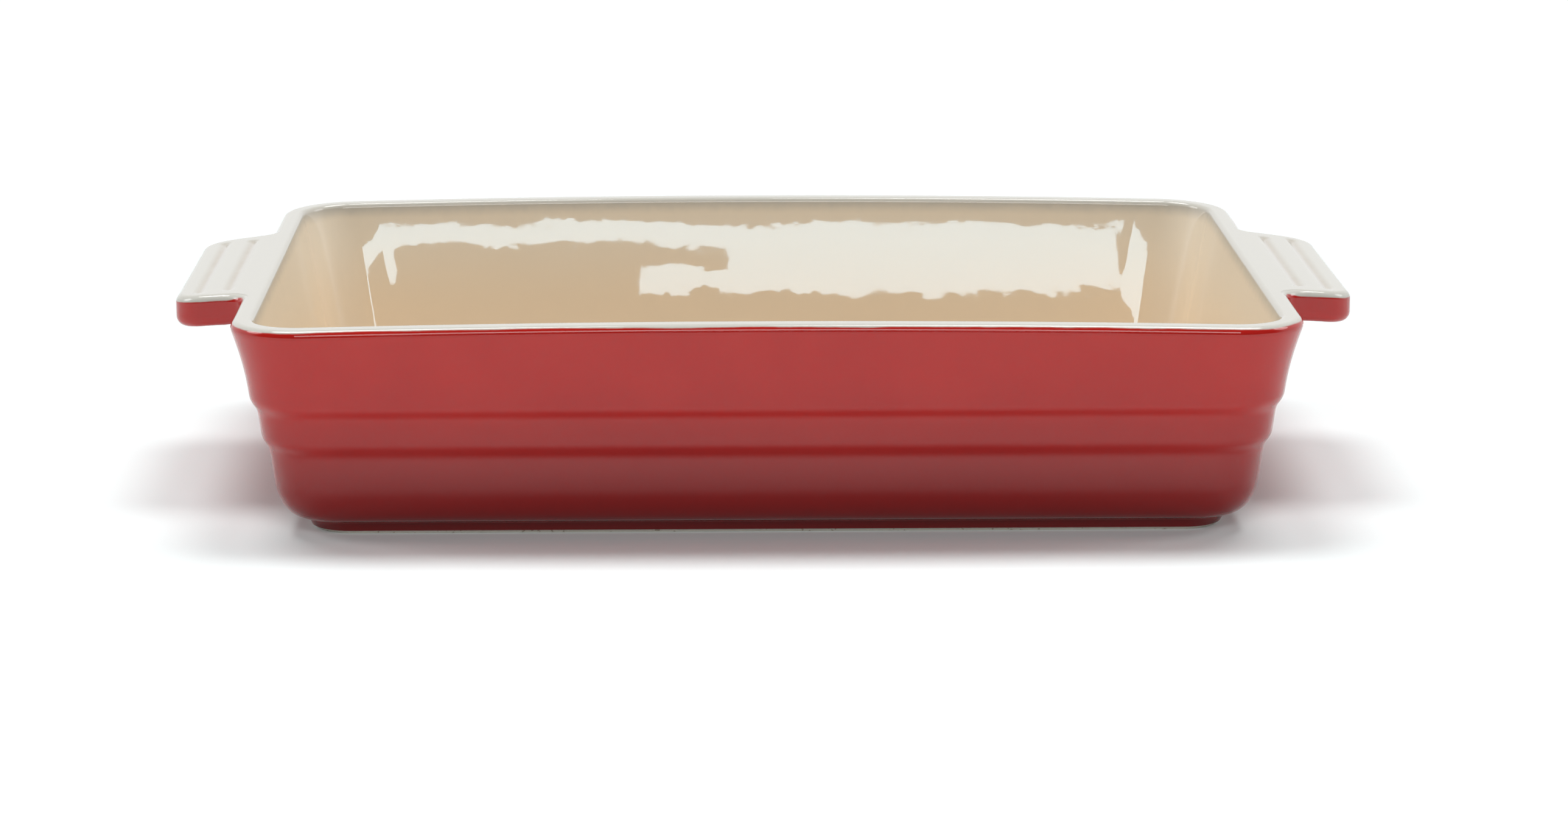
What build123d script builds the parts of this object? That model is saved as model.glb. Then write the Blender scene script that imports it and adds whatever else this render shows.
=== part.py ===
from build123d import *
from math import atan2, degrees
import os

# An oblong oven dish of glazed stoneware. One moulded body carries the walls, the floor,
# the foot ring and two flat lug handles. Three coats of glaze lie on it: cream inside
# and over the rim, red outside, and red in the recess under the floor. The foot is bare.
# The origin is on the table under the middle of the dish, and +X runs through the lugs.
# Millimetres. The sizes are those of the fired clay, and the glaze adds its coat to them.

# Overall sizes, the rim measured over its edge before that is rounded
rim_length = 336.0
rim_width = 236.0
rim_height = 69.0
rim_crown = 2.0
glaze_coat = 0.5

# Rim and corners
lip_thickness = 7.0
lip_outer_radius = 2.0
lip_inner_radius = 1.6
rim_corner_radius = 24.0
foot_corner_radius = 13.0

# The wall from the foot up: round bottom, plain wall, ledge, band, ledge, flare
bottom_curve_height = 12.0
plain_wall_height = 9.4
ledge_height = 6.8
ledge_depth = 2.6
band_height = 5.8
flare_depth = 5.8
flare_end_height = 10.0
flare_end_depth = 3.2
wall_lean_share = 0.14
quarter_share = 0.5523

# Foot ring and the recess inside it
foot_height = 4.8
foot_inset = 24.2
foot_draft = 2.0
foot_width = 6.0
foot_edge_radius = 0.8
recess_depth = 2.8
recess_draft = 1.0

# Inside
floor_thickness = 7.0
cavity_lean = 12.5
cavity_bottom_radius = 14.0

# Lug handles, and the grooves across their tops
lug_reach = 22.0
lug_root_width = 108.0
lug_tip_width = 98.0
lug_thickness = 9.5
lug_droop = 2.6
lug_tip_radius = 10.0
lug_root_radius = 5.0
lug_lower_radius = 3.2
groove_radius = 3.0
groove_depth = 0.7
groove_margin = 9.0
groove_place_shares = (0.25, 0.67)

# Where the glazes end: cream below the top of the rim, red above the table
cream_drop = 2.0
bare_foot = 1.3

# How far a cutting shape runs past what it cuts, how many levels shape each curve of the
# wall, and how nearly level a face is that counts as level
overrun = 6.0
levels_on_bottom = 10
levels_on_ledge = 5
levels_on_flare = 6
level_share = 0.9

rim_half = rim_length / 2
tip_half = rim_half + lug_reach
brim_half = rim_half - lip_thickness
floor_height = recess_depth + floor_thickness
lug_taper = (lug_root_width - lug_tip_width) / 2 / lug_reach


def outline(inset, radius, height):
    """A rounded oblong at some height, set in from the rim all round."""
    oblong = RectangleRounded(rim_length - 2 * inset, rim_width - 2 * inset, radius)
    return Pos(0, 0, height) * oblong


def leaning(start, height):
    """The end of a straight stretch of wall that leans out as it rises."""
    return Vector(start.X - wall_lean_share * height, start.Y + height)


def ledge(start):
    """An S in the wall, a ledge deep, that leaves and ends at the wall's own lean."""
    end = Vector(start.X - ledge_depth, start.Y + ledge_height)
    half = ledge_height / 2
    return Bezier(start, leaning(start, half), leaning(end, -half), end)


def wall_profile():
    """The wall from foot to rim and a little above, as stretches and the steps that each takes.

    X is the inset from the rim and Y the height.
    """
    shoulder_height = foot_height + bottom_curve_height + plain_wall_height
    flare_foot = Vector(flare_depth, shoulder_height + 2 * ledge_height + band_height)
    band_top = Vector(flare_foot.X + ledge_depth, flare_foot.Y - ledge_height)
    band_foot = leaning(band_top, -band_height)
    plain_top = Vector(band_foot.X + ledge_depth, band_foot.Y - ledge_height)
    plain_foot = leaning(plain_top, -plain_wall_height)
    joint = Vector(foot_inset - foot_draft, foot_height)
    across = quarter_share * (joint.X - plain_foot.X)
    bottom = Bezier(joint, (joint.X - across, joint.Y),
                    leaning(plain_foot, -quarter_share * bottom_curve_height), plain_foot)
    flare = Bezier(flare_foot, leaning(flare_foot, (rim_height - flare_foot.Y) / 3),
                   (flare_end_depth, rim_height - flare_end_height), (0, rim_height))
    above = Line(flare @ 1, flare @ 1 + (flare % 1) * overrun)
    return [(bottom, levels_on_bottom),
            (Line(plain_foot, plain_top), 1),
            (ledge(plain_top), levels_on_ledge),
            (Line(band_foot, band_top), 1),
            (ledge(band_top), levels_on_ledge),
            (Wire([flare, above]), levels_on_flare)]


def level(place, way, skin):
    """One level of the wall: a place on the profile, moved out across the wall by skin."""
    share = (place.Y - foot_height) / (rim_height - foot_height)
    radius = foot_corner_radius + share * (rim_corner_radius - foot_corner_radius)
    return outline(place.X - skin * way.Y, radius + skin * way.Y, place.Y + skin * way.X)


def tub(skin):
    """The walls as a full block: each stretch of the profile is lofted, and all are sewn."""
    walls, caps = [], []
    for stretch, steps in wall_profile():
        shares = [step / steps for step in range(steps + 1)]
        block = loft([level(stretch @ share, stretch % share, skin) for share in shares],
                     ruled=steps == 1)
        low_cap, *sides, high_cap = block.faces().sort_by(Axis.Z)
        walls += sides
        caps += [low_cap, high_cap]
    return Solid(Shell([caps[0], *walls, caps[-1]]))


def top_line(rise):
    """The top along X, moved up by rise: a low crown over the dish, drooping over the lugs."""
    rim = rim_height + rise
    crown = ThreePointArc((-brim_half, rim), (0, rim + rim_crown), (brim_half, rim))
    right = TangentArc(crown @ 1, (tip_half, rim - lug_droop), tangent=crown % 1)
    right_end = Line(right @ 1, right @ 1 + (right % 1) * overrun)
    left_end, left = (mirror(edge, Plane.YZ) for edge in (right_end, right))
    return [left_end, left, crown, right, right_end]


def under_top(rise, depth):
    """All that lies between the top line, moved up by rise, and its copy depth below."""
    upper, lower = top_line(rise), top_line(rise - depth)
    left = Line(upper[0] @ 1, lower[0] @ 1)
    right = Line(upper[-1] @ 1, lower[-1] @ 1)
    slab = make_face(Curve() + upper + lower + [left, right])
    return extrude(Plane.XZ * slab, rim_width, both=True)


def border(faces):
    """The edges round a patch of faces: those that only one of its faces has."""
    every = [edge for face in faces for edge in face.edges()]
    return ShapeList([edge for edge in every if sum(edge.is_same(other) for other in every) == 1])


def facing(form, way):
    """The faces of a form that look up, for a way of 1, or down, for a way of -1."""
    return [face for face in form.faces() if way * face.normal_at().Z > level_share]


def lug(skin):
    """The lug handle at +X, rounded below and in plan. It still runs on into the wall."""
    inner, outer = brim_half - lip_thickness, tip_half + skin
    outer_half = lug_tip_width / 2 + skin
    inner_half = outer_half + lug_taper * (outer - inner)
    plan = make_face(Polyline((inner, -inner_half), (outer, -outer_half), (outer, outer_half),
                              (inner, inner_half), close=True))
    plan = fillet(plan.vertices().group_by(Axis.X)[-1], lug_tip_radius + skin)
    block = extrude(plan, rim_height + overrun) & under_top(skin, lug_thickness + 2 * skin)
    lower_edges = border(facing(block, -1)).sort_by(Axis.X)[1:]
    return fillet(lower_edges, lug_lower_radius + skin)


def grooves(skin):
    """The grooves across the top of the +X lug, round at the bottom and at both ends."""
    radius = groove_radius - skin
    cuts = []
    for share in groove_place_shares:
        out = lip_thickness + share * lug_reach
        place = top_line(0)[3] @ (out / (lip_thickness + lug_reach))
        half_run = lug_tip_width / 2 + lug_taper * (tip_half - place.X) - groove_margin
        end = Pos(0, 0, half_run) * Sphere(radius)
        cutter = Cylinder(radius, 2 * half_run) + end + mirror(end, Plane.XY)
        axis_height = place.Y + groove_radius - groove_depth
        cuts.append(Pos(place.X, 0, axis_height) * Rot(90, 0, 0) * cutter)
    return Part() + cuts


def cavity(skin):
    """The space inside, as a block: its walls lean out and its corners and bottom are round.

    All four quarters are copies of one, so that they are alike to the last digit.
    """
    inset, bottom = lip_thickness + skin, floor_height + skin
    rectangle = Rectangle(rim_length - 2 * inset, rim_width - 2 * inset)
    block = extrude(Pos(0, 0, bottom) * rectangle, rim_height + rim_crown + overrun - bottom)
    sides = block.faces().filter_by(Axis.Z, reverse=True)
    lean = degrees(atan2(cavity_lean, rim_height - floor_height))
    block = draft(sides, Plane.XY.offset(rim_height), -lean)
    upright = block.edges().sort_by(Axis.Z)[4:8]
    block = fillet(upright, rim_corner_radius - inset)
    block = fillet(block.edges().group_by(Axis.Z)[0], cavity_bottom_radius - skin)
    quarter = block & Pos(rim_half, rim_half, rim_half) * Box(rim_length, rim_length, rim_length)
    half = quarter + mirror(quarter, Plane.YZ)
    return half + mirror(half, Plane.XZ)


def foot(skin):
    """The foot ring as a full block, which runs on up into the floor."""
    levels = []
    for height in (0, recess_depth + floor_thickness / 2):
        draft = foot_draft * height / foot_height
        levels.append(outline(foot_inset - draft - skin, foot_corner_radius + skin, height))
    return loft(levels, ruled=True)


def recess(skin):
    """The shallow space inside the foot ring, as a block."""
    inset = foot_inset + foot_width + skin
    radius = foot_corner_radius - foot_width - skin
    return loft([outline(inset, radius, 0),
                 outline(inset + recess_draft, radius - recess_draft, recess_depth - skin)],
                ruled=True)


def dish(skin):
    """The whole form, its surfaces skin further out than those of the clay."""
    block = tub(skin) & under_top(skin, rim_height + overrun)
    right_lug = lug(skin)
    lugs = right_lug + mirror(right_lug, Plane.YZ)
    form = block + lugs
    form = fillet(new_edges(block, lugs, combined=form), lug_root_radius - skin)
    form = fillet(border(facing(form, 1)), lip_outer_radius + skin)

    inside = cavity(skin)
    hollow = form - inside
    form = fillet(new_edges(form, inside, combined=hollow), lip_inner_radius + skin)

    right_grooves = grooves(skin)
    form = form - right_grooves - mirror(right_grooves, Plane.YZ)
    form = form + foot(skin) - recess(skin)
    return fillet(form.faces().sort_by(Axis.Z)[0].edges(), foot_edge_radius)


def glaze_coats(glazed, clay):
    """The glaze between the glazed form and the clay, parted where one glaze meets another."""
    base_coat, wall_coat = (glazed - clay).solids().sort_by(Axis.Z)
    middle_of_wall = cavity(-lip_thickness / 2)
    cream_space = middle_of_wall + under_top(overrun, overrun + cream_drop - glaze_coat)
    bare_space = Box(rim_length, rim_width, 2 * bare_foot)
    return {
        "inner_glaze": wall_coat & cream_space,
        "outer_glaze": wall_coat - cream_space - bare_space,
        "base_glaze": base_coat - bare_space,
    }


stoneware_body = dish(0)
pieces = {"stoneware_body": stoneware_body}
pieces.update(glaze_coats(dish(glaze_coat), stoneware_body))

os.makedirs("parts", exist_ok=True)
for name, piece in pieces.items():
    export_step(piece, f"parts/{name}.step")
    size = piece.bounding_box().size
    print(f"{name}: {size.X:.1f} x {size.Y:.1f} x {size.Z:.1f} mm, {piece.volume / 1000:.1f} cm3")
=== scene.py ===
# %% [markdown]
# # A glazed oven dish
#
# The real object is one moulded stoneware body with three coats of glaze on it: cream
# inside and over the rim, red outside, red again in the recess underneath. Nothing on it
# moves. The CAD model gives the exact size and place of each of these four, so this script
# loads it first and keeps to it, and then makes each one again as a finer mesh that shines
# the way glaze does.

# %% Load the frame
import bpy
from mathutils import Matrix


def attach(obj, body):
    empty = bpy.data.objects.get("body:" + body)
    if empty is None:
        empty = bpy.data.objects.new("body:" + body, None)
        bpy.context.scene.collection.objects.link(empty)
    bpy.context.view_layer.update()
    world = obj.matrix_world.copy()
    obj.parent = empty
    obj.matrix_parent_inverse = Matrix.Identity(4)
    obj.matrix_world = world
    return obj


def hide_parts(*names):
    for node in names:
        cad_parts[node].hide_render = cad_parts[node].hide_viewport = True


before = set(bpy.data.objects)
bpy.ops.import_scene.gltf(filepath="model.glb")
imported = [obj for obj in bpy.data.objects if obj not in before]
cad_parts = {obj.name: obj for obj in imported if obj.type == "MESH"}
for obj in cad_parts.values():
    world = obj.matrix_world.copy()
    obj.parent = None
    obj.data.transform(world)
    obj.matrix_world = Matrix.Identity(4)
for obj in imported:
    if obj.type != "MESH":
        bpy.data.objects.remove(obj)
for name in ("Cube", "Light", "Camera"):
    if name in bpy.data.objects:
        bpy.data.objects.remove(bpy.data.objects[name])
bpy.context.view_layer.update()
print("CAD nodes:", sorted(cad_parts))

# %% [markdown]
# ## Sizes
#
# A copy of a moulded form is best made from the numbers that the mould was made from, so
# these are the sizes of the fired clay, in millimetres, as the CAD source names them. The
# mesh is worked out in millimetres and shrunk to Blender's metres at the very end.

# %% Sizes of the rim, the lip and the coat of glaze
from math import asin, atan, cos, hypot, pi, radians, sin, tan
import bmesh
from mathutils import Matrix, Vector

MM = 0.001
HALF_LENGTH, HALF_WIDTH, RIM = 168.0, 118.0, 69.0
CROWN, COAT = 2.0, 0.5
LIP, OUTER_LIP, INNER_LIP = 7.0, 2.0, 1.6
RIM_CORNER, FOOT_CORNER = 24.0, 13.0
BRIM = HALF_LENGTH - LIP
END_HALF = HALF_WIDTH - RIM_CORNER
print("The rim is", 2 * HALF_LENGTH, "by", 2 * HALF_WIDTH, "mm before its edge is rounded.")

# %% Sizes of the lug handles and their grooves
LUG_REACH, LUG_ROOT_HALF, LUG_TIP_HALF = 22.0, 54.0, 49.0
LUG_TIP = HALF_LENGTH + LUG_REACH
LUG_TAPER = (LUG_ROOT_HALF - LUG_TIP_HALF) / LUG_REACH
LUG_THICK, LUG_DROOP, LUG_CORNER = 9.5, 2.6, 10.0
LUG_LOWER, LUG_ROOT = 3.2, 5.0
GROOVES = (173.3, 182.7)
GROOVE_DEPTH, GROOVE_HALF, GROOVE_RUN = 0.7, 2.6, 43.0
print("The dish is", 2 * LUG_TIP, "mm long over its lugs.")

# %% Sizes of the foot, the recess and the floor
FOOT, FOOT_INSET, FOOT_DRAFT, FOOT_WIDTH, FOOT_EDGE = 4.8, 24.2, 2.0, 6.0, 0.8
RECESS, RECESS_DRAFT = 2.8, 1.0
FLOOR, CAVITY_LEAN, CAVITY_BOTTOM = 9.8, 12.5, 14.0
print("The foot ring is", 2 * (HALF_LENGTH - FOOT_INSET), "mm long.")

# %% Where the glazes end: the red above the table, the cream below the rim's top
BARE_FOOT, CREAM_DROP = 1.3, 2.0
print("The red stops", BARE_FOOT, "mm above the table.")

# %% Sizes of the wall from the foot up, and how it leans and bends
BOTTOM_CURVE, PLAIN, LEDGE, LEDGE_HEIGHT, BAND = 12.0, 9.4, 2.6, 6.8, 5.8
FLARE_DEPTH, FLARE_END_DEPTH, FLARE_END = 5.8, 3.2, 10.0
LEAN_SHARE, QUARTER_SHARE = 0.14, 0.5523
FLARE_SLOPE = FLARE_END_DEPTH / FLARE_END
print("The flare leaves the rim at a slope of", FLARE_SLOPE)

# %% [markdown]
# ## The top line and the wall
#
# Seen from the front, the rim rises a little towards its middle and droops over the lugs.
# Seen from the end, the wall runs from the foot through a round bottom, a plain wall and
# two small ledges to a flare. Both lines are drawn here as plain functions, because every
# point of the mesh asks them where it belongs.


# %% The height of the top along the dish
def top(x):
    """The height of the clay's top at x: a low crown, then a droop over the lug."""
    out = max(abs(x) - BRIM, 0.0)
    slope = 2 * CROWN / BRIM
    reach = LUG_TIP - BRIM
    sag = (LUG_DROOP - slope * reach) / reach ** 2
    along = min(abs(x), BRIM) / BRIM
    return RIM + CROWN * (1 - along ** 2) - slope * out - sag * out ** 2


print("The top is", top(0), "mm high in the middle and", round(top(LUG_TIP), 2), "at the tip.")


# %% The wall from foot to rim, as inset and height
def bend(a, b, c, d, share):
    """A point on the curve that leaves a towards b and reaches d from c."""
    left = 1 - share
    weights = (left ** 3, 3 * left ** 2 * share, 3 * left * share ** 2, share ** 3)
    return [sum(w * p[k] for w, p in zip(weights, (a, b, c, d))) for k in (0, 1)]


def lean(start, height):
    """The end of a straight stretch of wall that leans out as it rises."""
    return (start[0] - LEAN_SHARE * height, start[1] + height)


flare_foot = (FLARE_DEPTH, FOOT + BOTTOM_CURVE + PLAIN + 2 * LEDGE_HEIGHT + BAND)
band_top = (flare_foot[0] + LEDGE, flare_foot[1] - LEDGE_HEIGHT)
band_foot = lean(band_top, -BAND)
plain_top = (band_foot[0] + LEDGE, band_foot[1] - LEDGE_HEIGHT)
plain_foot = lean(plain_top, -PLAIN)
joint = (FOOT_INSET - FOOT_DRAFT, FOOT)
across = QUARTER_SHARE * (joint[0] - plain_foot[0])
flare_curve = (flare_foot, lean(flare_foot, (RIM - flare_foot[1]) / 3),
               (FLARE_END_DEPTH, RIM - FLARE_END), (0.0, RIM))
bottom_curve = (joint, (joint[0] - across, FOOT),
                lean(plain_foot, -QUARTER_SHARE * BOTTOM_CURVE), plain_foot)
print("The plain wall starts", round(plain_foot[0], 2), "mm in from the rim.")


# %% How far in the wall is at a height on the flare
HALVINGS = 30


def flare_inset(height):
    """The wall's inset at a height from the flare's foot up, found by halving."""
    if height >= RIM:
        return (RIM - height) * FLARE_SLOPE
    low, high = 0.0, 1.0
    for _ in range(HALVINGS):
        middle = (low + high) / 2
        if bend(*flare_curve, middle)[1] < height:
            low = middle
        else:
            high = middle
    return bend(*flare_curve, low)[0]


def wall_corner(height):
    """The wall's corner radius in plan, which grows from the foot to the rim."""
    return FOOT_CORNER + (RIM_CORNER - FOOT_CORNER) * (height - FOOT) / (RIM - FOOT)


half_flare = (flare_foot[1] + RIM) / 2
print("Halfway up the flare the wall is", round(flare_inset(half_flare), 2), "mm in.")

# %% [markdown]
# ## One quarter of the dish as a net
#
# The dish is the same left and right, front and back, so one quarter is enough, and the
# mirror makes the rest. The quarter could be extruded ring by ring, but the lug grows out
# of the rim in the middle of it. A net is simpler: it starts as a flat grid, its columns
# go once round a quarter of the rim, and its rows run from the middle of the floor
# inside, up the wall, over the lip and the lug, down the outside and under the foot.
# First come the columns. Each one is a kind, a share of its stretch, and for those at the
# end of the dish a place along the end wall.

# %% The stretches of a quarter: how many columns each has, and where along the end it starts
COUNTS = {"long": 18, "corner": 16, "end": 6, "root": 8, "side": 4, "tip corner": 10, "tip": 10}
ROOT_Y, LUG_Y, CORNER_Y, TIP_Y, ROOT_X = 60.0, 50.0, 46.5, 40.5, 174.5


def shares(kind):
    """The shares of a stretch at which its columns stand, from its start on."""
    return [n / COUNTS[kind] for n in range(COUNTS[kind])]


def blend(start, end, share):
    """The number that lies a share of the way from start to end."""
    return start + (end - start) * share


print("The tip's columns are", round(TIP_Y / COUNTS["tip"], 2), "mm apart.")

# %% The columns round a quarter of the rim
columns = [("long", share, 0) for share in shares("long")]
columns += [("corner", share, 0) for share in shares("corner")]
columns += [("end", 0, blend(END_HALF, ROOT_Y, share)) for share in shares("end") + [1]]
columns += [("root", share, blend(LUG_Y, ROOT_Y, (1 - share) ** 2))
            for share in shares("root")[1:]]
columns += [("side", share, blend(LUG_Y, CORNER_Y, share)) for share in shares("side")]
columns += [("tip corner", share, blend(CORNER_Y, TIP_Y, share)) for share in shares("tip corner")]
first_tip = len(columns)
columns += [("tip", share, blend(TIP_Y, 0, share)) for share in shares("tip") + [1]]
print("Columns in a quarter:", len(columns))


# %% A place on a rounded oblong
def ring(column, inset, corner, height):
    """Where a column crosses a rounded oblong, set in from the rim and at some height."""
    kind, share, end_y = column
    x_side, y_side = HALF_LENGTH - inset, HALF_WIDTH - inset
    if kind == "long":
        return Vector((share * (x_side - corner), y_side, height))
    if kind == "corner":
        turn = pi / 2 * (1 - share)
        return Vector((x_side - corner + corner * cos(turn),
                       y_side - corner + corner * sin(turn), height))
    return Vector((x_side, end_y / END_HALF * (y_side - corner), height))


def lug_ring(column, back, height):
    """Where a column crosses the lug's outline in plan, moved in by back."""
    kind, share, _ = column
    steep = hypot(1, LUG_TAPER)
    normal = Vector((LUG_TAPER / steep, 1 / steep, 0))
    centre_x = LUG_TIP - LUG_CORNER
    corner_y = LUG_TIP_HALF + LUG_TAPER * LUG_CORNER
    centre = Vector((centre_x, corner_y - LUG_CORNER * steep, height))
    if kind == "side":
        touch = centre + normal * LUG_CORNER
        x = ROOT_X + share * (touch.x - ROOT_X)
        side = Vector((x, corner_y + LUG_TAPER * (centre_x - x), height))
        return side - normal * back
    if kind == "tip corner":
        turn = atan(1 / LUG_TAPER) * (1 - share)
        return centre + Vector((cos(turn), sin(turn), 0)) * (LUG_CORNER - back)
    return Vector((LUG_TIP - back, centre.y * (1 - share), height))


print("The lug's tip is straight for", round(2 * lug_ring(columns[first_tip], 0, 0).y, 1), "mm.")


# %% [markdown]
# ## Rows inside the dish
#
# From the middle of the floor the rows run out to the bottom's round edge, up the leaning
# wall and over the lip's inner edge. Every line here leaves the next one's direction
# alone, so the finished glaze has no crease in its reflections.

# %% The inside wall, and how many rows each stretch inside gets
FLOOR_ROWS, BOTTOM_ROWS, WALL_ROWS, INNER_LIP_ROWS = 8, 10, 14, 8
wall_lean = atan(CAVITY_LEAN / (RIM - FLOOR))
bottom_top = FLOOR + CAVITY_BOTTOM * (1 - sin(wall_lean))


def cavity_inset(height):
    """How far in the inside wall is at a height."""
    return LIP + CAVITY_LEAN * (RIM - height) / (RIM - FLOOR)


def steps(count):
    """The shares at which a stretch of the given number of rows puts them."""
    return [(n + 1) / count for n in range(count)]


print("The round bottom ends", round(bottom_top, 2), "mm above the table.")


# %% Rows from the middle of the floor to the inner lip
def inside_rows(column):
    """The rows from the middle of the floor up to the top of the lip."""
    middle_inset = cavity_inset(bottom_top) + CAVITY_BOTTOM * cos(wall_lean)
    corner = RIM_CORNER - LIP
    floor_corner = corner - CAVITY_BOTTOM * cos(wall_lean)
    edge = ring(column, middle_inset, floor_corner, FLOOR)
    rows = [Vector((edge.x * share, edge.y * share, FLOOR))
            for share in [0] + steps(FLOOR_ROWS)]
    for share in steps(BOTTOM_ROWS):
        turn = (pi / 2 - wall_lean) * share
        rows.append(ring(column, middle_inset - CAVITY_BOTTOM * sin(turn),
                         floor_corner + CAVITY_BOTTOM * sin(turn),
                         FLOOR + CAVITY_BOTTOM * (1 - cos(turn))))
    lip_x = ring(column, LIP, corner, RIM).x
    lip_foot = top(lip_x) - INNER_LIP * (1 - sin(wall_lean))
    for share in steps(WALL_ROWS):
        height = bottom_top + share * (lip_foot - bottom_top)
        rows.append(ring(column, cavity_inset(height), corner, height))
    edge_inset = cavity_inset(top(lip_x))
    middle = edge_inset - INNER_LIP * (1 - sin(wall_lean)) / cos(wall_lean)
    for share in steps(INNER_LIP_ROWS):
        turn = wall_lean + (pi / 2 - wall_lean) * share
        inset = middle + INNER_LIP * cos(turn)
        place = ring(column, inset, corner + cavity_inset(lip_foot) - inset, 0)
        place.z = top(place.x) - INNER_LIP * (1 - sin(turn))
        rows.append(place)
    return rows


print("Rows inside:", len(inside_rows(columns[0])))

# %% [markdown]
# ## Rows over the lip and the lug
#
# Outside, a column meets one of two things: the free wall, or the lug with its edge, its
# side, its rounded lower edge, its underside and the hollow where it grows out of the
# wall. Both get the same number of rows. Between them, the columns of the root follow a
# curve from the free wall, towards the corner where the two would meet, and on to the
# lug, which is what a thumb does to soft clay there.

# %% The turns of the rows over the outer lip
LIP_ROWS, SIDE_ROWS, LOWER_ROWS, UNDER_ROWS, ROOT_ROWS = 13, 5, 8, 7, 9
LINE_ROW, NEARLY = 8, radians(1.0)


def lip_turns(last_turn):
    """The turns of the rows over the outer lip, close together where the glazes meet."""
    line = pi / 2 - asin((OUTER_LIP + COAT - CREAM_DROP) / (OUTER_LIP + COAT))
    turns = [line * n / (LINE_ROW - 1) for n in range(LINE_ROW - 1)]
    turns += [line - NEARLY, line, line + NEARLY]
    left = LIP_ROWS - len(turns)
    return turns + [blend(line + NEARLY, last_turn, share) for share in steps(left + 1)]


print("The rows over the lip turn by", [round(turn, 2) for turn in lip_turns(pi / 2)])

# %% Rows down the free wall
wall_tilt = atan(FLARE_SLOPE)


def free_wall_rows(column):
    """The rows from the lip's outer edge down to where the lug's root ends."""
    edge = ring(column, 0, wall_corner(RIM), 0)
    high = top(edge.x)
    sharp = flare_inset(high)
    middle = sharp + OUTER_LIP * (1 + sin(wall_tilt)) / cos(wall_tilt)
    rows = []
    for turn in lip_turns(pi / 2 + wall_tilt):
        inset = middle - OUTER_LIP * sin(turn)
        drop = OUTER_LIP * (1 - cos(turn))
        corner = wall_corner(high - drop) - (inset - flare_inset(high - drop))
        place = ring(column, inset, corner, 0)
        place.z = top(place.x) - drop
        rows.append(place)
    start = rows[-1].z
    for share in steps(SIDE_ROWS + LOWER_ROWS + UNDER_ROWS + ROOT_ROWS):
        height = start + share * (root_end - start)
        rows.append(ring(column, flare_inset(height), wall_corner(height), height))
    return rows


print("The wall leans out by", round(wall_tilt, 2), "radians at the rim.")

# %% Where the hollow under the lug meets the wall, from a first guess and better ones
FIRST_GUESS, GUESSES, NEAR = 55.0, 20, 0.1
root_end = FIRST_GUESS
for _ in range(GUESSES):
    tilt = atan((flare_inset(root_end - NEAR) - flare_inset(root_end + NEAR)) / (2 * NEAR))
    root_end_x = HALF_LENGTH - flare_inset(root_end)
    root_end = top(root_end_x) - LUG_THICK - LUG_ROOT * (1 - sin(tilt))
root_middle_x = root_end_x + LUG_ROOT * cos(tilt)
root_sweep = pi / 2 - tilt
print("The lug's root ends", round(root_end, 2), "mm above the table.")


# %% Rows round the lug
def lug_rows(column):
    """The rows from the lug's upper edge round its side and underside to the wall."""
    plan = []
    for turn in lip_turns(pi / 2):
        plan.append((lug_ring(column, OUTER_LIP * (1 - sin(turn)), 0),
                     OUTER_LIP * (1 - cos(turn))))
    straight = LUG_THICK - OUTER_LIP - LUG_LOWER
    for share in steps(SIDE_ROWS):
        plan.append((lug_ring(column, 0, 0), OUTER_LIP + straight * share))
    for share in steps(LOWER_ROWS):
        turn = pi / 2 * share
        plan.append((lug_ring(column, LUG_LOWER * (1 - cos(turn)), 0),
                     LUG_THICK - LUG_LOWER * (1 - sin(turn))))
    wall = ring(column, flare_inset(root_end), wall_corner(root_end), 0)
    start, end = plan[-1][0], Vector((root_middle_x, wall.y, 0))
    for share in steps(UNDER_ROWS):
        plan.append((start.lerp(end, share), LUG_THICK))
    for share in steps(ROOT_ROWS):
        turn = root_sweep * share
        plan.append((Vector((root_middle_x - LUG_ROOT * sin(turn), wall.y, 0)),
                     LUG_THICK + LUG_ROOT * (1 - cos(turn))))
    return [Vector((place.x, place.y, top(place.x) - drop)) for place, drop in plan]


print("Rows on the lug:", len(lug_rows(columns[-1])), "and on the wall:",
      len(free_wall_rows(columns[0])))


# %% Rows of the root, between the free wall and the lug
last_free = free_wall_rows(("end", 0, ROOT_Y))
first_lug = lug_rows(("side", 0, LUG_Y))


def root_rows(column):
    """The rows of a column in the hollow between the free wall and the lug's side."""
    share = column[1]
    rows = []
    for row, (wall, lug) in enumerate(zip(last_free, first_lug)):
        height = (wall.z + lug.z) / 2
        x = wall.x if row < LIP_ROWS else HALF_LENGTH - flare_inset(height)
        corner = Vector((x, lug.y + LUG_TAPER * (lug.x - x), height))
        rows.append(wall * (1 - share) ** 2 + corner * 2 * share * (1 - share)
                    + lug * share ** 2)
    return rows


print("Halfway round the root the edge is at", root_rows(("root", 0.5, 0))[0])


# %% The grooves, and the rows of any column outside
def groove_dip(x, y):
    """How deep the lug's grooves are at a place on its top."""
    dip = 0.0
    for groove_x in GROOVES:
        away = hypot(x - groove_x, max(abs(y) - GROOVE_RUN, 0))
        if away < GROOVE_HALF:
            dip += GROOVE_DEPTH * (0.5 + 0.5 * cos(pi * away / GROOVE_HALF))
    return dip


def over_rows(column):
    """The rows from the top of the lip to the end of the lug's root."""
    makers = {"long": free_wall_rows, "corner": free_wall_rows, "end": free_wall_rows,
              "root": root_rows}
    return makers.get(column[0], lug_rows)(column)


print("The grooves are", GROOVE_DEPTH, "mm deep.")

# %% [markdown]
# ## Rows down the outside and under the foot
#
# Below the lug every column sees the same thing: the rest of the flare, a ledge, a narrow
# band, a second ledge, the plain wall, the round bottom, and then the foot ring with the
# shallow recess inside it. The corner where the body sits on its foot is filled with
# glaze, so it gets a small hollow and not a sharp line.


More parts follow.
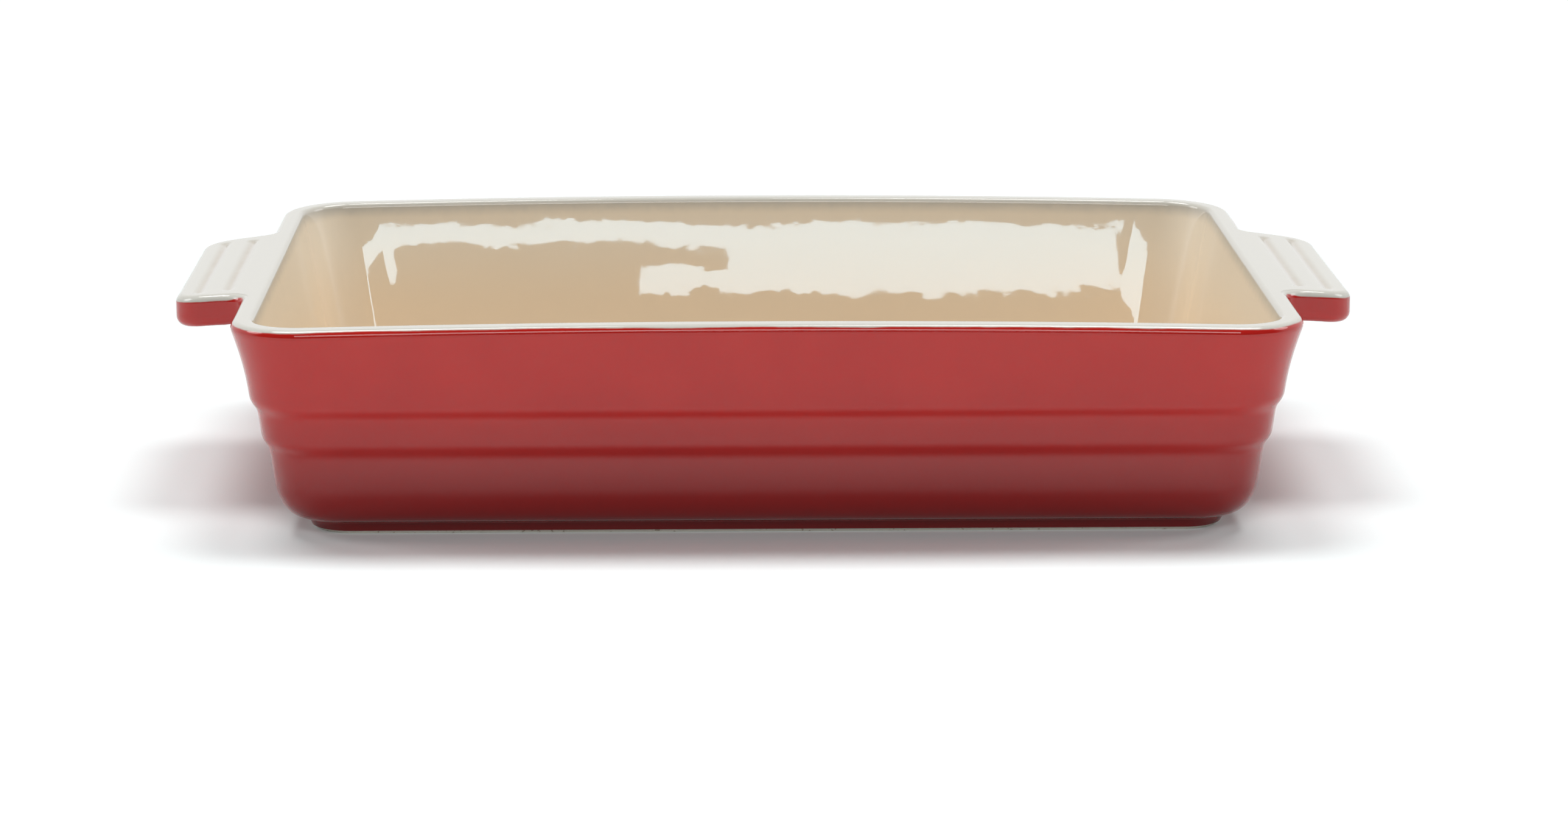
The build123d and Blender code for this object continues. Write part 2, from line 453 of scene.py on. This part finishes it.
# %% The line of the lower wall, as inset, height and corner radius
FLARE_ROWS, LEDGE_ROWS, BAND_ROWS, PLAIN_ROWS, CURVE_ROWS = 8, 14, 4, 5, 20
HOLLOW_SHARE = 0.1


def ledge(start, share):
    """An S in the wall that is a ledge deep."""
    end = (start[0] - LEDGE, start[1] + LEDGE_HEIGHT)
    half = LEDGE_HEIGHT / 2
    return bend(start, lean(start, half), lean(end, -half), end, share)


def lower_line():
    """Every row of the lower wall, down to the hollow where it meets the foot."""
    flare_low = [blend(root_end, flare_foot[1], share) for share in steps(FLARE_ROWS)]
    places = [(flare_inset(height), height) for height in flare_low]
    places += [ledge(band_top, 1 - share) for share in steps(LEDGE_ROWS)]
    places += [lean(band_top, -BAND * share) for share in steps(BAND_ROWS)]
    places += [ledge(plain_top, 1 - share) for share in steps(LEDGE_ROWS)]
    places += [lean(plain_top, -PLAIN * share) for share in steps(PLAIN_ROWS)]
    places += [bend(*bottom_curve, blend(1, HOLLOW_SHARE, share)) for share in steps(CURVE_ROWS)]
    return [(inset, height, wall_corner(height)) for inset, height in places]


lower = lower_line()
print("Rows of the lower wall:", len(lower))


# %% The outside of the foot, from the hollow to the flat it stands on
HOLLOW_ROWS, DRAFT_ROWS, EDGE_ROWS, FLAT_ROWS = 6, 4, 6, 3
HOLLOW_DROP = 1.0
foot_slope = FOOT_DRAFT / FOOT
foot_tilt = atan(foot_slope)
outer_low = FOOT_EDGE * (1 - sin(foot_tilt))
outer_middle = FOOT_INSET - foot_slope * outer_low + FOOT_EDGE * cos(foot_tilt)


def foot_side():
    """The rows of the hollow and the drafted side of the foot, down to the bare clay."""
    start = bend(*bottom_curve, HOLLOW_SHARE)
    end = (joint[0] + foot_slope * HOLLOW_DROP, FOOT - HOLLOW_DROP)
    places = []
    for share in steps(HOLLOW_ROWS):
        left = 1 - share
        places.append([left ** 2 * a + 2 * left * share * b + share ** 2 * c
                       for a, b, c in zip(start, joint, end)])
    for share in steps(DRAFT_ROWS):
        height = blend(end[1], BARE_FOOT, share)
        places.append([FOOT_INSET - foot_slope * height, height])
    return [(inset, height, FOOT_CORNER) for inset, height in places]


print("Rows of the foot's side:", len(foot_side()))

# %% The foot's two round edges, the flat between them, and the side of the recess
recess_inset = FOOT_INSET + FOOT_WIDTH
recess_tilt = atan(RECESS_DRAFT / RECESS)
inner_low = FOOT_EDGE * (1 - sin(recess_tilt))
inner_middle = recess_inset + inner_low * tan(recess_tilt) - FOOT_EDGE * cos(recess_tilt)
RECESS_HEIGHTS = (BARE_FOOT, 2.0, 2.4)
RECESS_CORNER = ((31.12, 2.62), (31.3, 2.74), (31.6, 2.79), (32.2, RECESS))


def foot_ring():
    """The rows from the foot's outer edge, across its flat, to the roof of the recess."""
    places = []
    for share in steps(EDGE_ROWS):
        turn = blend(foot_tilt, pi / 2, share)
        places.append((outer_middle - FOOT_EDGE * cos(turn), FOOT_EDGE * (1 - sin(turn))))
    for share in steps(FLAT_ROWS):
        places.append((blend(outer_middle, inner_middle, share), 0))
    for share in steps(EDGE_ROWS):
        turn = blend(pi / 2, recess_tilt, share)
        places.append((inner_middle + FOOT_EDGE * cos(turn), FOOT_EDGE * (1 - sin(turn))))
    for height in RECESS_HEIGHTS:
        places.append((recess_inset + RECESS_DRAFT * height / RECESS, height))
    places += RECESS_CORNER
    return [(inset, height, FOOT_CORNER + FOOT_INSET - inset) for inset, height in places]


print("The flat of the foot is", round(inner_middle - outer_middle, 2), "mm wide.")


# %% All the rows of one column
LUG_TOP_ROWS, RECESS_ROWS = 52, 8
below_root = lower + foot_side() + foot_ring()


def whole_column(column):
    """Every point of a column, from the middle of the floor to that of the recess."""
    inside, outside = inside_rows(column), over_rows(column)
    flat = []
    for share in steps(LUG_TOP_ROWS)[:-1]:
        place = inside[-1].lerp(outside[0], share)
        place.z = top(place.x) - groove_dip(place.x, place.y)
        flat.append(place)
    below = [ring(column, inset, corner, height) for inset, height, corner in below_root]
    middle = Vector((0, 0, RECESS))
    recess = [below[-1].lerp(middle, share) for share in steps(RECESS_ROWS)]
    return inside + flat + outside + below + recess


net = [whole_column(column) for column in columns]
print("Columns in the net:", len(net), "and rows:", len(net[0]))

# %% The rows at which the coats of glaze start and end
before_line = len(inside_rows(columns[0])) + LUG_TOP_ROWS - 1
line_row = before_line + LINE_ROW
bare_row = before_line + len(last_free) + len(lower) + len(foot_side()) - 1
base_row = bare_row + EDGE_ROWS + FLAT_ROWS + EDGE_ROWS + 1
print("Red meets cream at row", line_row, "and the clay is bare from", bare_row, "to", base_row)

# %% [markdown]
# ## From the net to a closed body
#
# Blender's grid gives the flat net with all its faces. Each of its corners is then put
# in its place, the quarter is mirrored twice, and the seams are merged. The row number is
# kept on every vertex, because the coats of glaze are cut out of the body by rows.

# %% Warp a grid into the quarter, and mirror it
SEAM, SPECK = 1e-4, 1e-5


def body_mesh():
    """The whole clay body as a closed bmesh, with the row of each vertex kept on it."""
    bm = bmesh.new()
    last_column, last_row = len(net) - 1, len(net[0]) - 1
    bmesh.ops.create_grid(bm, x_segments=last_column, y_segments=last_row, size=1)
    rows = bm.verts.layers.int.new("row")
    for vert in bm.verts:
        column = round((vert.co.x + 1) / 2 * last_column)
        row = round((vert.co.y + 1) / 2 * last_row)
        vert.co = net[column][row]
        vert[rows] = row
    for axis in ("X", "Y"):
        everything = bm.verts[:] + bm.edges[:] + bm.faces[:]
        bmesh.ops.mirror(bm, geom=everything, axis=axis, merge_dist=SEAM)
    bmesh.ops.remove_doubles(bm, verts=bm.verts, dist=SEAM)
    bmesh.ops.dissolve_degenerate(bm, edges=bm.edges, dist=SPECK)
    bmesh.ops.recalc_face_normals(bm, faces=bm.faces)
    return bm


clay = body_mesh()
open_edges = sum(not edge.is_manifold for edge in clay.edges)
print("Clay:", len(clay.faces), "faces,", open_edges, "open edges,",
      round(clay.calc_volume() / 1000, 1), "cm3")


# %% [markdown]
# ## What each coat has to know about its surface
#
# Glaze isn't one flat colour. It is thin and pale over the rim, thicker and browner on the
# walls inside, where it also carries painted light, and it gathers in the grooves, which also
# carry painted shade. Below the meeting line the red carries painted shade towards the foot.
# The meeting line of the two glazes wanders.
# A pattern like that follows the form, so each vertex keeps three measures that the
# materials read: how deep it lies inside, how far it is past the meeting line, and how
# deep in a groove. On the rim that line lies higher than on the lugs, and the last rows of
# the inner lip already count as its top.

# %% Keep the measures on the vertices
RIM_DROP, LUG_BLEND, ABOVE_LINE, LIP_TOP_ROWS = 1.1, 4.0, -20.0, 4
lip_row = len(inside_rows(columns[0])) - LIP_TOP_ROWS


def add_measures(bm):
    """Puts the depth inside, the distance past the glaze line and the groove on each vertex."""
    rows = bm.verts.layers.int["row"]
    depth, line, groove = (bm.verts.layers.float.new(name)
                           for name in ("depth", "line", "groove"))
    for vert in bm.verts:
        x, y, z = vert.co
        row, below = vert[rows], top(x) + COAT - z
        on_lug = min(max((abs(x) - HALF_LENGTH) / LUG_BLEND, 0), 1)
        drop = blend(RIM_DROP, CREAM_DROP, on_lug)
        vert[depth] = max(below, 0) if row < lip_row else 0
        vert[line] = ABOVE_LINE if row < before_line else below - drop
        if lip_row <= row < line_row:
            vert[groove] = groove_dip(abs(x), y) / GROOVE_DEPTH


print("The glazes meet", RIM_DROP, "mm below the rim's top and", CREAM_DROP, "on the lugs.")

# %% [markdown]
# ## Working out a finish
#
# A finish is a net of nodes. Written out node by node it hides its idea, so a small class
# wraps a socket, and plain sums on such values add the nodes. One method makes any other
# node from its type, its settings and what goes into its sockets.

# %% Sums on the values of a finish
class Level:
    """A number that changes over a surface, with its sums."""

    def __init__(self, finish, socket):
        self.finish, self.socket = finish, socket

    def sum(self, operation, *others):
        values = dict(enumerate([self, *others]))
        return self.finish.node("ShaderNodeMath", {"operation": operation}, values).level()

    def __add__(self, other):
        return self.sum("ADD", other)

    def __sub__(self, other):
        return self.sum("SUBTRACT", other)

    def __mul__(self, other):
        return self.sum("MULTIPLY", other)

    def __rsub__(self, other):
        return self * -1 + other

    __radd__, __rmul__ = __add__, __mul__

    def between(self, low, high):
        """0 below low, 1 above high, and a soft step from one to the other."""
        values = {"Value": self, "From Min": low, "From Max": high}
        settings = {"interpolation_type": "SMOOTHSTEP"}
        return self.finish.node("ShaderNodeMapRange", settings, values).level()


print("Sums that also work with a number first:",
      [name for name in ("__radd__", "__rsub__", "__rmul__") if hasattr(Level, name)])


# %% Nodes, patterns and colours of a finish
class Made:
    """A node that was made, and its outputs."""

    def __init__(self, finish, node):
        self.finish, self.node = finish, node

    def level(self, name=0):
        return Level(self.finish, self.node.outputs[name])


class Finish:
    """A material while its nodes are put together."""

    def __init__(self, name, kept_in=bpy.data.materials):
        self.material = kept_in.new(name)
        self.material.use_nodes = True
        self.tree = self.material.node_tree
        self.tree.nodes.clear()

    def node(self, kind, settings=None, values=None):
        """Makes a node: its settings first, then the values or links of its sockets."""
        made = self.tree.nodes.new(kind)
        for key, value in (settings or {}).items():
            setattr(made, key, value)
        for key, value in (values or {}).items():
            if isinstance(value, Level):
                self.tree.links.new(value.socket, made.inputs[key])
            else:
                made.inputs[key].default_value = value
        return Made(self, made)

    def measure(self, name):
        """One of the measures that the vertices keep."""
        return self.node("ShaderNodeAttribute", {"attribute_name": name}).level("Fac")

    def place(self):
        """The place on the piece, in metres."""
        return self.node("ShaderNodeTexCoord").level("Object")

    def cloud(self, size, detail=2.0):
        """A soft pattern round 0.5, with lumps of about size metres."""
        values = {"Vector": self.place(), "Scale": 1 / size, "Detail": detail}
        return self.node("ShaderNodeTexNoise", None, values).level("Fac")

    def mix(self, share, first, second):
        """Goes from the first colour to the second as share goes from 0 to 1."""
        colours = [c if isinstance(c, Level) else (*c, 1) for c in (first, second)]
        values = {"Factor": share, 6: colours[0], 7: colours[1]}
        return self.node("ShaderNodeMix", {"data_type": "RGBA"}, values).level(2)

    def bump(self, height, reach):
        """The normal of a surface raised by height, times reach in metres."""
        values = {"Strength": 1.0, "Distance": reach, "Height": height}
        return self.node("ShaderNodeBump", None, values).level("Normal")

    def seen(self):
        """1 where the camera or a reflection looks, 0 where light only passes on."""
        path = self.node("ShaderNodeLightPath")
        return path.level("Is Camera Ray").sum("MAXIMUM", path.level("Is Glossy Ray"))

    def surface(self, **values):
        """Ends the finish with one shader."""
        named = {key.replace("_", " "): value for key, value in values.items()}
        shader = self.node("ShaderNodeBsdfPrincipled", None, named)
        self.node("ShaderNodeOutputMaterial", None, {"Surface": shader.level("BSDF")})
        return self.material


print("A finish knows how to make:", [name for name in vars(Finish) if name[0] != "_"])

# %% [markdown]
# ## The two glazes
#
# Both glazes are glass over clay: a clear gloss with a colour under it. The surface was
# liquid once, so it has low, wide waves and hardly any grain. The cream is palest over the
# rim, where it ran thin, warmer down the walls, and brownest on the floor and in the
# grooves, where it gathered. The walls inside are also painted lighter than the rim, as
# painted light, and the grooves darker, partly as painted shade. The red is darker towards
# the foot, as painted shade. It runs up to the cream along a wandering line, and the two
# blend over less than a millimetre. One function paints both coats, so the line can cross
# from one piece to the other unseen.

# %% The colours of the glazes
CREAM_PALE = (0.57, 0.555, 0.50)
# The two wall colours inside are the glaze's warmer tone and also painted light: they are lighter
# than the rim's cream to stand in for the light that reaches less of the inside.
CREAM_HIGH_WALL_AND_PAINTED_LIGHT = (0.92, 0.83, 0.68)
CREAM_LOW_WALL_AND_PAINTED_LIGHT = (0.89, 0.74, 0.55)
CREAM_POOL = (0.68, 0.55, 0.40)
# The groove colour is glaze gathered in the grooves and partly painted shade in them.
CREAM_GROOVE_POOL_AND_SHADE = (0.44, 0.38, 0.30)
RED_DEEP, RED_BRIGHT = (0.45, 0.010, 0.007), (0.48, 0.012, 0.008)
# The low red is painted shade, which darkens the red towards the foot.
RED_PAINTED_SHADE = (0.23, 0.004, 0.004)
print("The cream goes from", CREAM_PALE, "on the rim to", CREAM_POOL, "on the floor.")

# %% Where they change, in millimetres below the rim, and how far those places wander
THIN, WARMS, POOLS = (0.4, 6.0), (6.0, 40.0), (42.0, 60.0)
# The second span is where the red's painted shade deepens, below the meeting line.
MEETS, PAINTED_SHADE_SPAN = (-0.2, 0.2), (14.0, 68.0)
THIN_WANDER, WALL_WANDER, LINE_WANDER, LINE_GRAIN = 1.2, 8.0, 0.9, 0.2
# The last two say how strongly the grooves take their gathered glaze and painted shade.
RED_CLOUDS, GATHER_AND_SHADE_LEAST, GATHER_AND_SHADE_MORE = (0.3, 0.7), 0.35, 0.7
print("The cream pools from", POOLS[0], "mm below the rim.")

# %% The sizes of the glazes' patterns, in metres
# GATHER is the lump size of the grooves' gathered glaze and painted shade.
LUMP, RUN, GATHER, RIPPLE, FINE = 0.05, 0.03, 0.012, 0.007, 0.004
WAVE_HEIGHT, RIPPLE_SHARE, FINE_SHARE = 0.00004, 0.15, 0.02
GLOSS, GLOSS_GRAIN = 0.005, 0.015
print("The waves are", round(WAVE_HEIGHT / MM, 3), "mm high and", RUN / MM, "mm long.")


# %% Paint the cream
def cream(finish, fine):
    """Pale over the rim, warm on the walls, and brown where the glaze pooled; the walls carry
    painted light and the grooves painted shade.
    """
    depth = finish.measure("depth")
    ragged = depth + (finish.cloud(LUMP) - 0.5) * WALL_WANDER
    # The wall colours carry painted light as well as the glaze's own warmer tone.
    walls = finish.mix(ragged.between(*WARMS), CREAM_HIGH_WALL_AND_PAINTED_LIGHT, CREAM_LOW_WALL_AND_PAINTED_LIGHT)
    walls = finish.mix(ragged.between(*POOLS), walls, CREAM_POOL)
    inside = (depth + (fine - 0.5) * THIN_WANDER).between(*THIN)
    # Grooves: gathered glaze and painted shade.
    gathered_and_shaded = finish.measure("groove") * (GATHER_AND_SHADE_LEAST + finish.cloud(GATHER) * GATHER_AND_SHADE_MORE)
    return finish.mix(gathered_and_shaded, finish.mix(inside, CREAM_PALE, walls), CREAM_GROOVE_POOL_AND_SHADE)


print("Cream:", cream.__doc__)


# %% Paint the red
def red(finish):
    """A red that clouds a little, with painted shade that makes it darker towards the foot."""
    clouds = finish.cloud(RUN, 3.0).between(*RED_CLOUDS)
    clouded = finish.mix(clouds, RED_DEEP, RED_BRIGHT)
    # Painted shade: darker towards the foot.
    return finish.mix(finish.measure("line").between(*PAINTED_SHADE_SPAN), clouded, RED_PAINTED_SHADE)


print("Red:", red.__doc__)


# %% Put both in one glaze
def glaze(name):
    """Cream and red glaze, which meet where the measure called line is nought."""
    finish = Finish(name)
    fine = finish.cloud(FINE, 3.0)
    wander = (finish.cloud(RUN) - 0.5) * LINE_WANDER + (fine - 0.5) * LINE_GRAIN
    red_share = (finish.measure("line") + wander).between(*MEETS)
    waves = (finish.cloud(RUN, 1.0) + finish.cloud(RIPPLE, 1.0) * RIPPLE_SHARE
             + fine * FINE_SHARE)
    return finish.surface(Base_Color=finish.mix(red_share, cream(finish, fine), red(finish)),
                          Roughness=GLOSS + fine * GLOSS_GRAIN, IOR=1.5,
                          Normal=finish.bump(waves, WAVE_HEIGHT))


cream_glaze, red_glaze = glaze("cream_glaze"), glaze("red_glaze")
print("Glazes:", cream_glaze.name, red_glaze.name)

# %% [markdown]
# ## The bare clay
#
# The foot ring is wiped clean before the firing, or the dish would melt onto its shelf. What
# shows there is matt, sandy stoneware with fine darker specks. It could be one flat colour,
# but two sizes of noise give it the grain that a hand would feel.

# %% Paint the bare clay
SAND_DARK, SAND_PALE, SPECK_BROWN = (0.82, 0.76, 0.65), (0.90, 0.86, 0.77), (0.40, 0.28, 0.19)
GRAIN_SIZE, SPECK_SIZE, PATCH_SIZE, GRAIN_HEIGHT = 0.0008, 0.0016, 0.02, 0.0002
SPECKS, SPECK_SHARE, MATT, MATT_GRAIN = (0.66, 0.72), 0.6, 0.75, 0.2


def bare_clay():
    """Fired clay without glaze: matt, sandy, with fine darker specks."""
    finish = Finish("bare_stoneware")
    grain = finish.cloud(GRAIN_SIZE, 3.0)
    specks = finish.cloud(SPECK_SIZE, 1.0).between(*SPECKS) * SPECK_SHARE
    sand = finish.mix(finish.cloud(PATCH_SIZE, 3.0), SAND_DARK, SAND_PALE)
    return finish.surface(Base_Color=finish.mix(specks, sand, SPECK_BROWN),
                          Roughness=MATT + grain * MATT_GRAIN, IOR=1.45,
                          Normal=finish.bump(grain, GRAIN_HEIGHT))


clay_finish = bare_clay()
print("Clay:", clay_finish.name)

# %% [markdown]
# ## The four pieces
#
# Each coat is the rows of the body that it covers, thickened outwards. It could be modelled
# by itself, but cut from the body's own mesh it lies on the clay everywhere, as glaze does.
# Each piece then takes the slot and the place of the CAD node that it stands for.


# %% Make an object of a bmesh
def finish_piece(bm, name, node, material):
    """Shrinks a bmesh to metres and gives it its material and its place in the frame."""
    bmesh.ops.scale(bm, vec=(MM, MM, MM), verts=bm.verts)
    mesh = bpy.data.meshes.new(name)
    bm.to_mesh(mesh)
    bm.free()
    mesh.shade_smooth()
    mesh.materials.append(material)
    piece = bpy.data.objects.new(name, mesh)
    bpy.context.scene.collection.objects.link(piece)
    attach(piece, "root")
    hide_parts(node)
    print(name, "has", len(mesh.polygons), "faces")
    return piece


# %% Cut a coat of glaze out of the body
SHARP = radians(60)


def coat_mesh(first_row, last_row):
    """The rows between two, thickened outwards into a coat of glaze with sharp ends."""
    bm = clay.copy()
    rows = bm.verts.layers.int["row"]
    others = [face for face in bm.faces
              if not all(first_row <= vert[rows] <= last_row for vert in face.verts)]
    bmesh.ops.delete(bm, geom=others, context="FACES")
    add_measures(bm)
    bmesh.ops.solidify(bm, geom=bm.faces[:], thickness=-COAT)
    for edge in bm.edges:
        if edge.is_manifold and edge.calc_face_angle() > SHARP:
            edge.smooth = False
    return bm


print("An edge that turns by more than", round(SHARP, 2), "radians stays sharp.")

# %% Make the coats and the body
coats = {"inner_glaze": (0, line_row, "cream_glaze", cream_glaze),
         "outer_glaze": (line_row, bare_row, "red_glaze", red_glaze),
         "base_glaze": (base_row, len(net[0]) - 1, "red_glaze", red_glaze)}
for node, (first, last, slot, material) in coats.items():
    finish_piece(coat_mesh(first, last), "glaze_" + node.split("_")[0], node, material)
finish_piece(clay, "clay_body", "stoneware_body", clay_finish)

# %% [markdown]
# ## The floor and the light
#
# The dish stands on a pale floor in a plain white studio. Four soft lamps far above, two of
# them low at the sides, light the dish and the whole floor alike and give it wide soft
# shadows. One more lamp stands high behind the camera, and below it a window, which the
# inside wall mirrors. The floor and the room behind the dish count as white where the
# camera or a reflection sees them, and hardly light the dish.

# %% How the floor looks
FLOOR_COLOUR, FLOOR_GLOW = (0.88, 0.95, 0.95, 1), 0.05
WHITE = (1, 1, 1, 1)


def floor_finish():
    """A pale floor that is white to the camera where no shadow lies on it."""
    finish = Finish("floor")
    matt = finish.node("ShaderNodeBsdfDiffuse", None, {"Color": FLOOR_COLOUR})
    glow = finish.node("ShaderNodeEmission", None, {"Color": WHITE, "Strength": FLOOR_GLOW})
    seen_glow = finish.node("ShaderNodeMixShader", None, {0: finish.seen(), 2: glow.level()})
    both = finish.node("ShaderNodeAddShader", None, {0: matt.level(), 1: seen_glow.level()})
    finish.node("ShaderNodeOutputMaterial", None, {"Surface": both.level()})
    return finish.material


print("The floor's colour is", FLOOR_COLOUR[:3])

# %% Make the floor
HALF_FLOOR = 6.0
floor_net = bmesh.new()
bmesh.ops.create_grid(floor_net, x_segments=1, y_segments=1, size=HALF_FLOOR)
floor_mesh = bpy.data.meshes.new("floor")
floor_net.to_mesh(floor_mesh)
floor_net.free()
floor_mesh.materials.append(floor_finish())
floor = bpy.data.objects.new("floor", floor_mesh)
bpy.context.scene.collection.objects.link(floor)
print("The floor is", round(floor.dimensions.x), "m wide.")

# %% The room
ROOM_LIGHT, ROOM_BEFORE, ROOM_TURN = 0.05, (0.1, 0.1, 0.1), (-0.3, 0.1)


def light_room():
    """A dim even room, which reflections find white behind the dish and dark before it."""
    room = Finish("room", bpy.data.worlds)
    way = room.node("ShaderNodeTexCoord").level("Generated")
    along = room.node("ShaderNodeSeparateXYZ", None, {0: way}).level("Y")
    behind = along.between(*ROOM_TURN)
    colour = room.mix(behind, ROOM_BEFORE, WHITE[:3])
    mirrored = room.node("ShaderNodeBackground", None, {"Color": colour})
    dim = room.node("ShaderNodeBackground", None, {"Color": WHITE, "Strength": ROOM_LIGHT})
    both = room.node("ShaderNodeMixShader", None,
                     {0: room.seen(), 1: dim.level(), 2: mirrored.level()})
    room.node("ShaderNodeOutputWorld", None, {"Surface": both.level()})
    bpy.context.scene.world = room.material


light_room()
print("The room lights the dish at", ROOM_LIGHT, "of white.")


# %% Put a lamp in the scene
def hang_lamp(name, kind, toward):
    """A lamp that looks along a direction, and the object that holds it."""
    lamp = bpy.data.lights.new(name, kind)
    holder = bpy.data.objects.new(name, lamp)
    holder.rotation_euler = Vector(toward).to_track_quat("-Z", "Y").to_euler()
    bpy.context.scene.collection.objects.link(holder)
    return lamp, holder


def soft_lamp(name, place, aim, width, height, glow):
    """A soft rectangular lamp that looks at a place, with its glow in watts a square metre."""
    lamp, holder = hang_lamp(name, "AREA", Vector(aim) - Vector(place))
    lamp.shape, lamp.size, lamp.size_y = "RECTANGLE", width, height
    lamp.energy = glow * width * height
    holder.location = place
    return lamp


print("A soft lamp is", soft_lamp.__doc__[2:])

# %% The lamps far above
SKY_BACK, SKY_SPREAD = -0.22, radians(25)
across_and_strengths = {"lamp_far_left": (1.5, 0.65), "lamp_left": (0.25, 1.32),
                        "lamp_right": (-0.25, 1.32), "lamp_far_right": (-1.5, 0.55)}
for name, (across, strength) in across_and_strengths.items():
    lamp, _ = hang_lamp(name, "SUN", (across, SKY_BACK, -1.0))
    lamp.angle, lamp.energy = SKY_SPREAD, strength
print("Lamps far above:", len(across_and_strengths))

# %% The lamp high behind the camera
HIGH_PLACE, HIGH_AIM, HIGH_GLOW = (0, -2.6, 1.75), (0, 0, 0.06), 15.0
high_lamp = soft_lamp("lamp_high", HIGH_PLACE, HIGH_AIM, 2.0, 0.8, HIGH_GLOW)
print("The high lamp gives", round(high_lamp.energy, 1), "W.")

# %% The window behind the camera, as its panes: left, right, low and high edge in metres
WINDOW_Y, WINDOW_GLOW, WINDOW_COLOUR = -2.6, 30.0, (0.62, 0.86, 1.0)
panes = {"window_top": (-0.345, 0.414, 0.701, 0.723),
         "window_right": (0.021, 0.414, 0.652, 0.701),
         "window_left": (-0.345, -0.305, 0.661, 0.701),
         "window_low": (-0.067, 0.021, 0.653, 0.679)}
for name, (left, right, low, high) in panes.items():
    x, z = (left + right) / 2, (low + high) / 2
    pane = soft_lamp(name, (x, WINDOW_Y, z), (x, 0, z), right - left, high - low, WINDOW_GLOW)
    pane.color = WINDOW_COLOUR
print("Panes:", len(panes))

# %% [markdown]
# ## The camera
#
# The camera stands where the photographer stood, a metre and a half away and a little
# above the dish. Its place, its turn and its lens were worked out from the outlines of the
# rim, the lugs and the foot in the photograph.

# %% The camera
FORWARD, ROLL = Vector((0.02394331, 0.97579600, -0.21736400)), radians(0.055)
SENSOR, FOCAL_PIXELS, PHOTO_PIXELS = 36.0, 7223.27, 2576
camera = bpy.data.objects.new("camera", bpy.data.cameras.new("camera"))
camera.location = (-0.028116, -1.441170, 0.339563)
camera.rotation_mode = "QUATERNION"
camera.rotation_quaternion = (FORWARD.to_track_quat("-Z", "Y")
                              @ Matrix.Rotation(ROLL, 3, "Z").to_quaternion())
camera.data.sensor_width = SENSOR
camera.data.lens = FOCAL_PIXELS * SENSOR / PHOTO_PIXELS
camera.data.clip_start, camera.data.clip_end = 0.05, 30
bpy.context.scene.collection.objects.link(camera)
bpy.context.scene.camera = camera
bpy.context.scene.view_settings.view_transform = "Standard"
print("The lens is", round(camera.data.lens, 1), "mm.")
